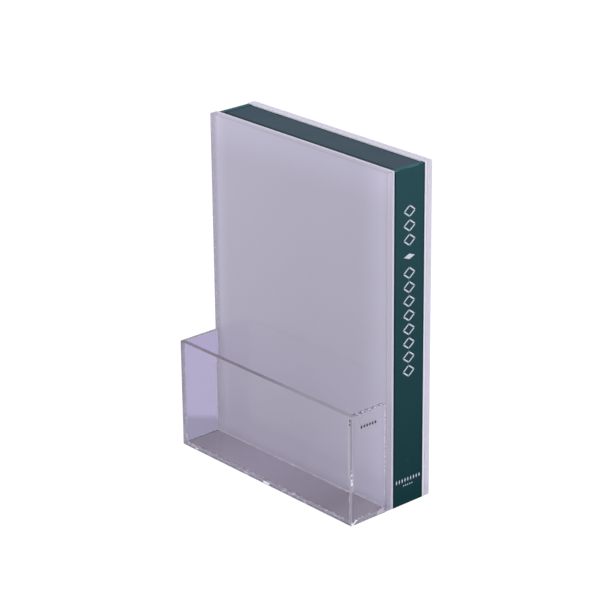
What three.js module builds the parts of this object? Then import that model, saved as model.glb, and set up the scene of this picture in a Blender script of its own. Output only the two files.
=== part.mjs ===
// A countertop leaflet stand in the form of a standing album. Two covers, each a clear acrylic
// panel on a white sheet, stand either side of a hollow green core with a spine, and a clear
// open pocket for leaflets is cemented to the front cover.
// Millimetres, +Z up. The origin is the middle of the footprint on the table, the pocket
// faces -Y and the spine faces +X.
import * as THREE from "three";

// Covers
const COVER_WIDTH = 220;
const COVER_HEIGHT = 300;
const CLEAR_PANEL_THICKNESS = 6;
const WHITE_SHEET_THICKNESS = 2;

// Core: four boards around an empty space
const CORE_DEPTH = 34;
const SPINE_THICKNESS = 5;
const LEFT_BOARD_THICKNESS = 5;
const TOP_BOARD_THICKNESS = 5;
const BOTTOM_BOARD_THICKNESS = 5;
const CORE_LEFT_INSET = 1; // from the covers' left edges to the left board
const CORE_TOP_RECESS = 0.5; // from the covers' top edges down to the two upright boards
const TOP_BOARD_RECESS = 0.5; // from the upright boards' top ends down to the top board

// Pocket
const POCKET_HEIGHT = 100;
const POCKET_CLEAR_DEPTH = 36; // from its front wall to the front cover
const POCKET_WALL_THICKNESS = 4;
const POCKET_FLOOR_THICKNESS = 4;

// Edges and joints
const POLISHED_CHAMFER = 0.4; // around both faces of a clear panel
const SHEET_CHAMFER = 0.2; // around both faces of a white sheet
const PANEL_CORNER_ROUND = 0.4; // what a panel's corner keeps once its chamfer is cut
const WALL_EDGE_ROUND = 0.4; // along the edges of the pocket's side walls and floor
const BOARD_EDGE_ROUND = 0.6; // along the edges of the green boards
const BOARD_END_CHAMFER = 0.3; // around the ends of the upright boards
const CEMENT_FILM = 0.1; // between two faces that are cemented together
const ARC_SEGMENTS = 2; // ExtrudeGeometry turns a quarter circle in twice this many steps

const clearAcrylic = new THREE.MeshStandardMaterial({
  color: 0xd9d4ea,
  roughness: 0.05,
  metalness: 0,
  transparent: true,
  opacity: 0.35,
});
const whiteAcrylic = new THREE.MeshStandardMaterial({
  color: 0xc9c4d6,
  roughness: 0.45,
  metalness: 0,
});
const greenLacquer = new THREE.MeshStandardMaterial({
  color: 0x1d4547,
  roughness: 0.4,
  metalness: 0,
});

// How a solid is turned so that it is drawn out along X, Y or Z. Its section's width and
// height then lie along Y and Z, X and Z, or X and Y.
const ALONG_X = new THREE.Matrix4().makeBasis(
  new THREE.Vector3(0, 1, 0),
  new THREE.Vector3(0, 0, 1),
  new THREE.Vector3(1, 0, 0),
);
const ALONG_Y = new THREE.Matrix4().makeBasis(
  new THREE.Vector3(-1, 0, 0),
  new THREE.Vector3(0, 0, 1),
  new THREE.Vector3(0, 1, 0),
);
const ALONG_Z = new THREE.Matrix4();

// A rectangle about the origin whose corners are quarter circles.
function roundedRectangle(width, height, radius) {
  const x = width / 2 - radius;
  const y = height / 2 - radius;
  const quarter = Math.PI / 2;
  const outline = new THREE.Shape();
  outline.absarc(x, y, radius, 0, quarter);
  outline.absarc(-x, y, radius, quarter, 2 * quarter);
  outline.absarc(-x, -y, radius, 2 * quarter, 3 * quarter);
  outline.absarc(x, -y, radius, 3 * quarter, 4 * quarter);
  outline.closePath();
  return outline;
}

// A rounded rectangle drawn out along an axis, about the origin. Its ends are chamfered, or
// cut square where the chamfer is 0.
function drawnOut(along, width, height, length, radius, endChamfer) {
  const geometry = new THREE.ExtrudeGeometry(roundedRectangle(width, height, radius), {
    depth: length - 2 * endChamfer,
    curveSegments: ARC_SEGMENTS,
    bevelEnabled: endChamfer > 0,
    bevelThickness: endChamfer,
    bevelSize: endChamfer,
    bevelOffset: -endChamfer,
    bevelSegments: 1,
  });
  geometry.translate(0, 0, endChamfer - length / 2);
  geometry.applyMatrix4(along);
  return geometry;
}

// An upright panel that faces front and rear, with a chamfer around both faces.
function uprightPanel(width, height, thickness, chamfer) {
  return drawnOut(ALONG_Y, width, height, thickness, chamfer + PANEL_CORNER_ROUND, chamfer);
}

// One named piece, with its middle at the given place.
function piece(name, geometry, material, x, y, z) {
  const mesh = new THREE.Mesh(geometry, material);
  mesh.name = name;
  mesh.position.set(x, y, z);
  return mesh;
}

// The layers from front to back. Each value is the front face of its layer.
const standDepth =
  POCKET_WALL_THICKNESS +
  POCKET_CLEAR_DEPTH +
  2 * (CLEAR_PANEL_THICKNESS + WHITE_SHEET_THICKNESS) +
  CORE_DEPTH +
  4 * CEMENT_FILM;
const pocketFrontY = -standDepth / 2;
const pocketInsideY = pocketFrontY + POCKET_WALL_THICKNESS;
const frontClearY = pocketInsideY + POCKET_CLEAR_DEPTH;
const frontWhiteY = frontClearY + CLEAR_PANEL_THICKNESS + CEMENT_FILM;
const coreY = frontWhiteY + WHITE_SHEET_THICKNESS + CEMENT_FILM;
const rearWhiteY = coreY + CORE_DEPTH + CEMENT_FILM;
const rearClearY = rearWhiteY + WHITE_SHEET_THICKNESS + CEMENT_FILM;

const rightX = COVER_WIDTH / 2;
const leftX = -rightX;

// A cover is a clear panel with a white sheet of the same outline cemented to its inner face.
function cover(side, clearY, whiteY) {
  const group = new THREE.Group();
  group.add(
    piece(
      side + "_clear_panel",
      uprightPanel(COVER_WIDTH, COVER_HEIGHT, CLEAR_PANEL_THICKNESS, POLISHED_CHAMFER),
      clearAcrylic,
      0,
      clearY + CLEAR_PANEL_THICKNESS / 2,
      COVER_HEIGHT / 2,
    ),
    piece(
      side + "_white_sheet",
      uprightPanel(COVER_WIDTH, COVER_HEIGHT, WHITE_SHEET_THICKNESS, SHEET_CHAMFER),
      whiteAcrylic,
      0,
      whiteY + WHITE_SHEET_THICKNESS / 2,
      COVER_HEIGHT / 2,
    ),
  );
  return group;
}

// An upright board of the core, with its outer face at the covers' side.
function uprightBoard(name, thickness, middleX) {
  const height = COVER_HEIGHT - CORE_TOP_RECESS;
  return piece(
    name,
    drawnOut(ALONG_Z, thickness, CORE_DEPTH, height, BOARD_EDGE_ROUND, BOARD_END_CHAMFER),
    greenLacquer,
    middleX,
    coreY + CORE_DEPTH / 2,
    height / 2,
  );
}

// The core: the spine and the left board stand from the table to just under the covers' tops,
// and the top and bottom boards fit between them.
function core() {
  const leftFaceX = leftX + CORE_LEFT_INSET;
  const spanLeftX = leftFaceX + LEFT_BOARD_THICKNESS + CEMENT_FILM;
  const spanRightX = rightX - SPINE_THICKNESS - CEMENT_FILM;
  const topFaceZ = COVER_HEIGHT - CORE_TOP_RECESS - TOP_BOARD_RECESS;

  const levelBoard = (name, thickness, middleZ) =>
    piece(
      name,
      drawnOut(ALONG_X, CORE_DEPTH, thickness, spanRightX - spanLeftX, BOARD_EDGE_ROUND, 0),
      greenLacquer,
      (spanLeftX + spanRightX) / 2,
      coreY + CORE_DEPTH / 2,
      middleZ,
    );

  const group = new THREE.Group();
  group.add(
    uprightBoard("spine_board", SPINE_THICKNESS, rightX - SPINE_THICKNESS / 2),
    uprightBoard("left_board", LEFT_BOARD_THICKNESS, leftFaceX + LEFT_BOARD_THICKNESS / 2),
    levelBoard("top_board", TOP_BOARD_THICKNESS, topFaceZ - TOP_BOARD_THICKNESS / 2),
    levelBoard("bottom_board", BOTTOM_BOARD_THICKNESS, BOTTOM_BOARD_THICKNESS / 2),
  );
  return group;
}

// The pocket: its front wall laps over the ends of the side walls and the edge of the floor,
// the side walls stand flush with the covers' edges, and the front cover closes its back.
function pocket() {
  const reach = POCKET_CLEAR_DEPTH - 2 * CEMENT_FILM;
  const middleY = pocketInsideY + POCKET_CLEAR_DEPTH / 2;
  const floorWidth = COVER_WIDTH - 2 * (POCKET_WALL_THICKNESS + CEMENT_FILM);

  const sideWall = (name, middleX) =>
    piece(
      name,
      drawnOut(ALONG_Y, POCKET_WALL_THICKNESS, POCKET_HEIGHT, reach, WALL_EDGE_ROUND, 0),
      clearAcrylic,
      middleX,
      middleY,
      POCKET_HEIGHT / 2,
    );

  const group = new THREE.Group();
  group.add(
    piece(
      "pocket_front",
      uprightPanel(COVER_WIDTH, POCKET_HEIGHT, POCKET_WALL_THICKNESS, POLISHED_CHAMFER),
      clearAcrylic,
      0,
      pocketFrontY + POCKET_WALL_THICKNESS / 2,
      POCKET_HEIGHT / 2,
    ),
    sideWall("pocket_left_side", leftX + POCKET_WALL_THICKNESS / 2),
    sideWall("pocket_right_side", rightX - POCKET_WALL_THICKNESS / 2),
    piece(
      "pocket_floor",
      drawnOut(ALONG_X, reach, POCKET_FLOOR_THICKNESS, floorWidth, WALL_EDGE_ROUND, 0),
      clearAcrylic,
      0,
      middleY,
      POCKET_FLOOR_THICKNESS / 2,
    ),
  );
  return group;
}

const stand = new THREE.Group();
stand.add(
  cover("front", frontClearY, frontWhiteY),
  core(),
  cover("rear", rearClearY, rearWhiteY),
  pocket(),
);

export default stand;
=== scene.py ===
import math
import random

import bmesh
import bpy
from mathutils import Matrix, Vector


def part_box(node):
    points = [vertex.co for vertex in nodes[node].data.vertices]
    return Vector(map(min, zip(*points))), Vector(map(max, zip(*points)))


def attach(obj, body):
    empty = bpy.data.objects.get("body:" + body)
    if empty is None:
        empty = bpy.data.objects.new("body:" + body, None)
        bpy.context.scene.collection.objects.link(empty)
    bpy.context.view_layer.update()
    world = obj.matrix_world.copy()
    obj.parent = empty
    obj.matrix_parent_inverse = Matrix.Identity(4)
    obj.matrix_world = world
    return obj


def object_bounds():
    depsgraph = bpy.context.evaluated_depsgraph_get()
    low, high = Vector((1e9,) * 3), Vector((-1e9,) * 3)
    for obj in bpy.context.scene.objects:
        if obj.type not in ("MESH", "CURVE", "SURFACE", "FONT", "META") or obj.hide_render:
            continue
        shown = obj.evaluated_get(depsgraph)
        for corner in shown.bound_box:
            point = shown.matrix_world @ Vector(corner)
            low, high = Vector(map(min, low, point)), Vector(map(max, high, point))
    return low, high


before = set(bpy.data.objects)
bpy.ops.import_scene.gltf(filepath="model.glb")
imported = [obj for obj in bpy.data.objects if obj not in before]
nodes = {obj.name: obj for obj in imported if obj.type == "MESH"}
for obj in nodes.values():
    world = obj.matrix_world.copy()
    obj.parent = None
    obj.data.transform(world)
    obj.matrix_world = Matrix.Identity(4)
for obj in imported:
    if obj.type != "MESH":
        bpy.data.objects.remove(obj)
cad_low, cad_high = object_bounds()
MM = 0.001

# ---------------------------------------------------------------- camera
VIEW_AZIMUTH = math.radians(48.54)
VIEW_ELEVATION = math.radians(21.88)
VIEW_ROLL = math.radians(-0.62)
VIEW_DISTANCE = 2.0632
VIEW_LENS = 145.83
VIEW_FAR_END = 20.0
VIEW_AIM_OFFSET = Vector((-2.89, 0.8, 6.97)) * MM  # from the middle of the stand


def make_camera():
    back = Vector(
        (
            math.sin(VIEW_AZIMUTH) * math.cos(VIEW_ELEVATION),
            -math.cos(VIEW_AZIMUTH) * math.cos(VIEW_ELEVATION),
            math.sin(VIEW_ELEVATION),
        )
    )
    right = Vector((0, 0, 1)).cross(back).normalized()
    turn = Matrix.Rotation(VIEW_ROLL, 3, back)
    right = turn @ right
    up = back.cross(right)
    aim = (cad_low + cad_high) / 2 + VIEW_AIM_OFFSET
    data = bpy.data.cameras.new("camera")
    data.lens = VIEW_LENS
    data.clip_end = VIEW_FAR_END
    camera = bpy.data.objects.new("camera", data)
    bpy.context.scene.collection.objects.link(camera)
    axes = Matrix((right, up, back)).transposed().to_4x4()
    camera.matrix_world = Matrix.Translation(aim + back * VIEW_DISTANCE) @ axes
    bpy.context.scene.camera = camera


make_camera()

# ---------------------------------------------------------------- where things are
boxes = {name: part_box(name) for name in nodes}
wall_low, wall_high = boxes["pocket_front"]
right_low, right_high = boxes["pocket_right_side"]
left_low, left_high = boxes["pocket_left_side"]
floor_low, floor_high = boxes["pocket_floor"]
panel_low = boxes["front_clear_panel"][0]
spine_low, spine_high = boxes["spine_board"]

POCKET_TOP = wall_high.z


# ---------------------------------------------------------------- node helpers
def srgb(red, green, blue):
    """A colour written as 0 to 255 per channel, as the linear values that Blender takes."""

    def linear(value):
        value /= 255
        return value / 12.92 if value <= 0.04045 else ((value + 0.055) / 1.055) ** 2.4

    return (linear(red), linear(green), linear(blue), 1.0)


def node(tree, kind, settings=None, **inputs):
    """A new node. settings are its own properties, and inputs are values or sockets by name."""
    made = tree.nodes.new(kind)
    for key, value in (settings or {}).items():
        setattr(made, key, value)
    for key, value in inputs.items():
        feed(tree, made.inputs[key.replace("_", " ")], value)
    return made


def feed(tree, socket, value):
    """Links a socket to another one, or writes a plain value on it."""
    if isinstance(value, bpy.types.NodeSocket):
        tree.links.new(value, socket)
    else:
        socket.default_value = value


def math_node(tree, operation, first, second=0.0, third=None, clamp=False):
    made = tree.nodes.new("ShaderNodeMath")
    made.operation = operation
    made.use_clamp = clamp
    feed(tree, made.inputs[0], first)
    feed(tree, made.inputs[1], second)
    if third is not None:
        feed(tree, made.inputs[2], third)
    return made.outputs[0]


# A Mix node has a pair of inputs and an output for each kind of value. These are for colours.
MIX_FIRST_COLOUR = 6
MIX_SECOND_COLOUR = 7
MIXED_COLOUR = 2


def mix_colour(tree, factor, first, second, blend="MIX"):
    made = tree.nodes.new("ShaderNodeMix")
    made.data_type = "RGBA"
    made.blend_type = blend
    feed(tree, made.inputs[0], factor)
    feed(tree, made.inputs[MIX_FIRST_COLOUR], first)
    feed(tree, made.inputs[MIX_SECOND_COLOUR], second)
    return made.outputs[MIXED_COLOUR]


def ramp(tree, value, low, high, smooth=True):
    """0 where value is at or under low, 1 where it is at or over high."""
    made = tree.nodes.new("ShaderNodeMapRange")
    made.interpolation_type = "SMOOTHSTEP" if smooth else "LINEAR"
    feed(tree, made.inputs["Value"], value)
    feed(tree, made.inputs["From Min"], low)
    feed(tree, made.inputs["From Max"], high)
    return made.outputs["Result"]


def noise(tree, place, scale, detail=2.0):
    return node(tree, "ShaderNodeTexNoise", Vector=place, Scale=scale, Detail=detail).outputs[0]


def object_place(tree):
    """Where a point is, in the part's own frame."""
    return node(tree, "ShaderNodeTexCoord").outputs["Object"]


def split(tree, vector):
    return node(tree, "ShaderNodeSeparateXYZ", Vector=vector).outputs


def mix_shaders(tree, factor, first, second):
    """Shows the shader node first where factor is 0, and second where it is 1."""
    made = node(tree, "ShaderNodeMixShader")
    feed(tree, made.inputs[0], factor)
    tree.links.new(first.outputs[0], made.inputs[1])
    tree.links.new(second.outputs[0], made.inputs[2])
    return made.outputs[0]


def emptied_tree(owner):
    """The node tree of a material or a world, with no nodes in it."""
    owner.use_nodes = True
    owner.node_tree.nodes.clear()
    return owner.node_tree


def new_group(name, inputs, outputs):
    """A shader node group with (name, kind, default) inputs and (name, kind) outputs."""
    group = bpy.data.node_groups.new(name, "ShaderNodeTree")
    for label, kind, default in inputs:
        socket = group.interface.new_socket(label, in_out="INPUT", socket_type=kind)
        socket.default_value = default
    for label, kind in outputs:
        group.interface.new_socket(label, in_out="OUTPUT", socket_type=kind)
    start = group.nodes.new("NodeGroupInput")
    end = group.nodes.new("NodeGroupOutput")
    return group, start.outputs, end.inputs


def use_group(tree, group, **inputs):
    made = tree.nodes.new("ShaderNodeGroup")
    made.node_tree = group
    for key, value in inputs.items():
        feed(tree, made.inputs[key.replace("_", " ")], value)
    return made.outputs


FLOAT = "NodeSocketFloat"
VECTOR = "NodeSocketVector"


# ---------------------------------------------------------------- shared effects
# A pair of edges is where a mask starts to rise and where it is full.
SMUDGE_SCALE = 22.0
SMUDGE_EDGES = (0.42, 0.72)
SCRATCH_TURN = (0.35, 0.2, 0.5)
SCRATCH_STRETCH = (900.0, 900.0, 22.0)
SCRATCH_EDGES = (0.70, 0.80)
SCRATCH_ROUGHNESS = 0.2
DUST_SCALE = 260.0
DUST_EDGES = (0.05, 0.12)
DUST_CLOUD_SCALE = 40.0
DUST_CLOUD_EDGES = (0.55, 0.65)


def build_handling_wear():
    """Smudges that change the gloss, and fine scratches and dust that catch the light."""
    group, given, wanted = new_group(
        "handling_wear",
        [
            ("Gloss", FLOAT, 0.1),
            ("Smudge", FLOAT, 0.05),
            ("Scratch", FLOAT, 0.3),
            ("Dust", FLOAT, 0.3),
        ],
        [("Roughness", FLOAT), ("Height", FLOAT), ("Dust", FLOAT)],
    )
    place = object_place(group)
    patch = ramp(group, noise(group, place, SMUDGE_SCALE, detail=4.0), *SMUDGE_EDGES)
    drawn = node(
        group, "ShaderNodeMapping", Vector=place, Rotation=SCRATCH_TURN, Scale=SCRATCH_STRETCH
    ).outputs[0]
    scratch = ramp(group, noise(group, drawn, 1.0, detail=1.0), *SCRATCH_EDGES)
    specks = node(group, "ShaderNodeTexVoronoi", Vector=place, Scale=DUST_SCALE)
    away = ramp(group, specks.outputs["Distance"], *DUST_EDGES)
    speck = math_node(group, "SUBTRACT", 1.0, away)
    where = ramp(group, noise(group, place, DUST_CLOUD_SCALE), *DUST_CLOUD_EDGES)
    speck = math_node(group, "MULTIPLY", speck, where)
    dust = math_node(group, "MULTIPLY", speck, given["Dust"])
    rough = math_node(group, "MULTIPLY_ADD", patch, given["Smudge"], given["Gloss"])
    scratched = math_node(group, "MULTIPLY", scratch, given["Scratch"])
    roughened = math_node(group, "MULTIPLY", scratched, SCRATCH_ROUGHNESS)
    rough = math_node(group, "ADD", rough, roughened, clamp=True)
    group.links.new(rough, wanted["Roughness"])
    group.links.new(math_node(group, "SUBTRACT", dust, scratched), wanted["Height"])
    group.links.new(dust, wanted["Dust"])
    return group


def build_near_face():
    """How near a point is to each face of its piece's box. Each mask is 1 on its face and
    fades to 0 at Reach inside it, over the last stretch of Fade."""
    faces = {"X": ("Left", "Right"), "Y": ("Front", "Rear"), "Z": ("Foot", "Top")}
    group, given, wanted = new_group(
        "near_face",
        [
            ("Low", VECTOR, (0, 0, 0)),
            ("High", VECTOR, (1, 1, 1)),
            ("Reach", FLOAT, 0.001),
            ("Fade", FLOAT, 0.001),
        ],
        [(face, FLOAT) for pair in faces.values() for face in pair],
    )
    here = split(group, object_place(group))
    low = split(group, given["Low"])
    high = split(group, given["High"])
    start = math_node(group, "SUBTRACT", given["Reach"], given["Fade"])
    for axis, (low_face, high_face) in faces.items():
        from_low = math_node(group, "SUBTRACT", here[axis], low[axis])
        from_high = math_node(group, "SUBTRACT", high[axis], here[axis])
        for face, distance in ((low_face, from_low), (high_face, from_high)):
            inside = ramp(group, distance, start, given["Reach"])
            group.links.new(math_node(group, "SUBTRACT", 1.0, inside), wanted[face])
    return group


def build_rise():
    """0 at the height Low and 1 at the height High. Tilt is the height that a point gains for
    each metre towards the rear."""
    group, given, wanted = new_group(
        "rise", [("Low", FLOAT, 0.0), ("High", FLOAT, 1.0), ("Tilt", FLOAT, 0.0)], [("Mask", FLOAT)]
    )
    here = split(group, object_place(group))
    gained = math_node(group, "MULTIPLY", here["Y"], given["Tilt"])
    height = math_node(group, "ADD", here["Z"], gained)
    group.links.new(ramp(group, height, given["Low"], given["High"], smooth=False), wanted["Mask"])
    return group


handling_wear = build_handling_wear()
near_face = build_near_face()
rise = build_rise()


# ---------------------------------------------------------------- materials
def tint(red, green, blue):
    return (red, green, blue, 1.0)


ACRYLIC_IOR = 1.49
STUDIO_MIRROR = tint(0.05, 0.05, 0.05)  # how much of what stands in front a face mirrors
FACE_LETS_BY = tint(0.95, 0.94, 0.965)  # of the light that falls on one face of a sheet
# Where the painted shade near the table on a clear sheet ends, and how it slopes
LOW_TINT_TOP = 17 * MM  # where Y is 0
LOW_TINT_FADE = 6 * MM
LOW_TINT_TILT = 0.33


def new_material(name):
    material = bpy.data.materials.new(name)
    tree = emptied_tree(material)
    surface = tree.nodes.new("ShaderNodeBsdfPrincipled")
    output = tree.nodes.new("ShaderNodeOutputMaterial")
    tree.links.new(surface.outputs[0], output.inputs["Surface"])
    return material, tree, surface, output


def bump(tree, height, strength, distance):
    made = node(tree, "ShaderNodeBump", Height=height, Strength=strength, Distance=distance)
    return made.outputs["Normal"]


CHAMFER_REACH = 0.42 * MM  # from an edge face of a clear sheet to the inside of its chamfers
EDGE_FADE = 0.04 * MM
# Painted shade: the chamfers of clear sheets are tinted darker
CHAMFER_TINT = tint(0.62, 0.60, 0.66)


def box_masks(tree, box, reach, fade):
    """The masks of near_face for a box given by its two corners."""
    return use_group(tree, near_face, Low=box[0], High=box[1], Reach=reach, Fade=fade)


def colour_along(tree, box, stops):
    """Blends through the (place, colour) stops, from a box's left end at 0 to its right at 1."""
    here = split(tree, object_place(tree))
    share = ramp(tree, here["X"], box[0].x, box[1].x, smooth=False)
    blend = node(tree, "ShaderNodeValToRGB", Fac=share)
    elements = blend.color_ramp.elements
    elements[0].color = stops[0][1]
    elements[1].color = stops[-1][1]
    for position, colour in stops[1:-1]:
        elements.new(position).color = colour
    return blend.outputs["Color"]


def body_tint(tree, box, body, painted_low_shade):
    """The tint of a sheet's broad faces. body is one colour or stops for colour_along, and the low
    tint takes over near the table as painted shade."""
    colour = colour_along(tree, box, body) if isinstance(body, list) else body
    if painted_low_shade:
        raised = use_group(
            tree, rise, Low=LOW_TINT_TOP - LOW_TINT_FADE, High=LOW_TINT_TOP, Tilt=LOW_TINT_TILT
        )["Mask"]
        colour = mix_colour(tree, raised, painted_low_shade, colour)
    return colour


def clear_acrylic(
    piece_name,
    body,
    edges,
    chamfer=CHAMFER_TINT,
    gloss=0.0,
    edge_gloss=0.1,
    painted_low_shade=None,
    mirror=STUDIO_MIRROR,
):
    """Clear sheet. edges gives some of its edge faces a tint of their own, and chamfer the chamfers
    beside them: painted shade and painted light for what those edges show. edge_gloss roughens
    them, because they are scraped rather than polished."""
    material, tree, surface, output = new_material("clear_acrylic_" + piece_name)
    wear = use_group(tree, handling_wear, Gloss=gloss, Smudge=0.02, Scratch=0.0, Dust=0.0)
    box = boxes[piece_name]
    framed = box_masks(tree, box, CHAMFER_REACH, EDGE_FADE)
    flat = box_masks(tree, box, 2 * EDGE_FADE, EDGE_FADE)
    colour = body_tint(tree, box, body, painted_low_shade)
    rough = wear["Roughness"]
    # Painted shade and painted light on the edge faces and their chamfers
    for face, edge_tint in edges.items():
        colour = mix_colour(tree, framed[face], colour, chamfer)
        colour = mix_colour(tree, flat[face], colour, edge_tint)
        scraped = math_node(tree, "MULTIPLY", framed[face], edge_gloss)
        rough = math_node(tree, "MAXIMUM", rough, scraped)
    feed(tree, surface.inputs["Base Color"], colour)
    feed(tree, surface.inputs["Roughness"], rough)
    surface.inputs["IOR"].default_value = ACRYLIC_IOR
    surface.inputs["Specular Tint"].default_value = mirror
    surface.inputs["Transmission Weight"].default_value = 1.0
    let_light_by(tree, surface, output)
    return material


def let_light_by(tree, surface, output):
    """Rays from lamps and from matt surfaces pass each face unbent, a little dimmed."""
    rays = node(tree, "ShaderNodeLightPath").outputs
    passing = math_node(tree, "MAXIMUM", rays["Is Shadow Ray"], rays["Is Diffuse Ray"])
    straight = node(tree, "ShaderNodeBsdfTransparent", Color=FACE_LETS_BY)
    tree.links.new(mix_shaders(tree, passing, surface, straight), output.inputs["Surface"])


# Painted light: the white sheets grow paler between these heights
PALE_FROM = 150 * MM
PALE_TO = 260 * MM
CLOUD_SCALE = 9.0
CLOUD_EDGES = (0.3, 0.7)
CLOUD_DEPTH = 0.03
CLOUD_SHADE = tint(0.3, 0.28, 0.34)
WHITE_MIRROR = 0.2


def white_acrylic(name, box, low, high, bands, foot_corners=()):
    """Opaque white sheet with painted light: it goes from the colour low to the colour high as it
    rises, paler where more light falls from above. Each band (face, reach, gain) makes it paler or
    duller towards one of its faces, as painted light or painted shade where the light in the clear
    panel on it gathers or runs out. Each foot corner (side, width, height, gain) does so towards the
    foot of one side."""
    material, tree, surface, _ = new_material(name)
    wear = use_group(tree, handling_wear, Gloss=0.45, Smudge=0.1, Scratch=0.1, Dust=0.1)
    raised = use_group(tree, rise, Low=PALE_FROM, High=PALE_TO)["Mask"]
    colour = mix_colour(tree, raised, low, high)
    for face, reach, gain in bands:
        near = box_masks(tree, box, reach, reach)[face]
        colour = mix_colour(tree, near, colour, tint(gain, gain, gain), "MULTIPLY")
    for side, width, height, gain in foot_corners:
        near_foot = box_masks(tree, box, height, height)["Foot"]
        near_side = box_masks(tree, box, width, width)[side]
        near = math_node(tree, "MULTIPLY", near_foot, near_side)
        colour = mix_colour(tree, near, colour, tint(gain, gain, gain), "MULTIPLY")
    cloud = noise(tree, object_place(tree), CLOUD_SCALE, detail=3.0)
    shade = math_node(tree, "MULTIPLY", ramp(tree, cloud, *CLOUD_EDGES), CLOUD_DEPTH)
    colour = mix_colour(tree, shade, colour, CLOUD_SHADE)
    feed(tree, surface.inputs["Base Color"], colour)
    feed(tree, surface.inputs["Roughness"], wear["Roughness"])
    surface.inputs["Specular IOR Level"].default_value = WHITE_MIRROR
    return material


CORNER_FADE = 2.0 * MM
CORNER_DEPTH = 0.85
ARRIS_REACH = 0.9 * MM
ARRIS_FADE = 0.3 * MM
HIGHLIGHT_BREAK_SCALE = 160.0
HIGHLIGHT_BREAK_EDGES = (0.40, 0.52)
PEEL_SCALE = 1400.0
PEEL_HEIGHT = 0.35
PEEL_BUMP = (0.2, 0.03 * MM)  # its strength and its depth
GREEN_CLOUD_SCALE = 35.0
GREEN_CLOUD_DEPTH = 0.05
GREEN_CLOUD_SHADE = tint(0.05, 0.12, 0.13)
# The colours of the painted shade and the painted highlight
GREEN_PAINTED_SHADE = srgb(10, 34, 37)
GREEN_PAINTED_HIGHLIGHT = srgb(60, 105, 108)
GREEN_DUST = tint(0.35, 0.4, 0.4)
GREEN_MIRROR = 0.015


def green_lacquer(name, foot, head, front_reach, rear_reach):
    """Satin lacquer, with the fine orange peel of spray. Painted shade darkens it towards the foot,
    along the foot line and in the corners against the covers, and a painted highlight runs as a
    broken paler line along the core's outer top edges."""
    material, tree, surface, _ = new_material(name)
    wear = use_group(tree, handling_wear, Gloss=0.4, Smudge=0.1, Scratch=0.3, Dust=0.2)
    core = (boxes["left_board"][0], boxes["spine_board"][1])
    place = object_place(tree)
    # Painted shade: darker towards the foot
    rising = use_group(tree, rise, Low=0.0, High=core[1].z)["Mask"]
    colour = mix_colour(tree, rising, foot, head)
    cloud = noise(tree, place, GREEN_CLOUD_SCALE, detail=5.0)
    cloud = math_node(tree, "MULTIPLY", cloud, GREEN_CLOUD_DEPTH)
    colour = mix_colour(tree, cloud, colour, GREEN_CLOUD_SHADE)
    # Painted shade in the corners against the covers, and along the foot
    front = box_masks(tree, core, front_reach, CORNER_FADE)["Front"]
    rear = box_masks(tree, core, rear_reach, CORNER_FADE)["Rear"]
    dark = math_node(tree, "MAXIMUM", front, rear)
    dark = math_node(tree, "MULTIPLY", dark, CORNER_DEPTH)
    colour = mix_colour(tree, dark, colour, GREEN_PAINTED_SHADE)
    near = box_masks(tree, core, ARRIS_REACH, ARRIS_FADE)
    colour = mix_colour(tree, near["Foot"], colour, GREEN_PAINTED_SHADE)
    # Painted highlight: a broken paler line along the outer top edges
    ends = math_node(tree, "MAXIMUM", near["Left"], near["Right"])
    arris = math_node(tree, "MULTIPLY", near["Top"], ends)
    broken = ramp(tree, noise(tree, place, HIGHLIGHT_BREAK_SCALE, detail=1.0), *HIGHLIGHT_BREAK_EDGES)
    painted_highlight = math_node(tree, "MULTIPLY", arris, broken)
    colour = mix_colour(tree, painted_highlight, colour, GREEN_PAINTED_HIGHLIGHT)
    colour = mix_colour(tree, wear["Dust"], colour, GREEN_DUST)
    peel = noise(tree, place, PEEL_SCALE, detail=1.0)
    height = math_node(tree, "MULTIPLY_ADD", peel, PEEL_HEIGHT, wear["Height"])
    feed(tree, surface.inputs["Base Color"], colour)
    feed(tree, surface.inputs["Roughness"], wear["Roughness"])
    feed(tree, surface.inputs["Normal"], bump(tree, height, *PEEL_BUMP))
    surface.inputs["Specular IOR Level"].default_value = GREEN_MIRROR
    return material


MATT_ROUGHNESS = 0.5
MATT_MIRROR = 0.1
MILK = tint(0.70, 0.68, 0.76)
MILK_EDGES = (0.62, 0.74)  # where none of the cement is milky
MILK_SPREAD = 0.3


def make_matt(surface):
    surface.inputs["Roughness"].default_value = MATT_ROUGHNESS
    surface.inputs["Specular IOR Level"].default_value = MATT_MIRROR


def milky_cement(name, colour, share, stretch, milk=MILK):
    """Solvent cement in a joint. It turns from colour to milk in streaks, where air got in."""
    material, tree, surface, _ = new_material(name)
    place = object_place(tree)
    drawn = node(tree, "ShaderNodeMapping", Vector=place, Scale=stretch).outputs[0]
    edges = [edge - share * MILK_SPREAD for edge in MILK_EDGES]
    milky = ramp(tree, noise(tree, drawn, 1.0, detail=3.0), *edges)
    feed(tree, surface.inputs["Base Color"], mix_colour(tree, milky, colour, milk))
    make_matt(surface)
    return material


INK_SCALE = 900.0
INK_EDGES = (0.35, 0.75)
INK_BUMP = (0.15, 0.02 * MM)  # its strength and its depth


def printed_ink(name, colour, fade):
    """Screen ink. It lies a little unevenly, so its colour is not all of a piece."""
    material, tree, surface, _ = new_material(name)
    grain = noise(tree, object_place(tree), INK_SCALE)
    inked = mix_colour(tree, ramp(tree, grain, *INK_EDGES), colour, fade)
    feed(tree, surface.inputs["Base Color"], inked)
    surface.inputs["Roughness"].default_value = MATT_ROUGHNESS
    feed(tree, surface.inputs["Normal"], bump(tree, grain, *INK_BUMP))
    return material


# Painted shadow: the pocket floor is tinted dark, in steps along it, for the shaded table under it
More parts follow.
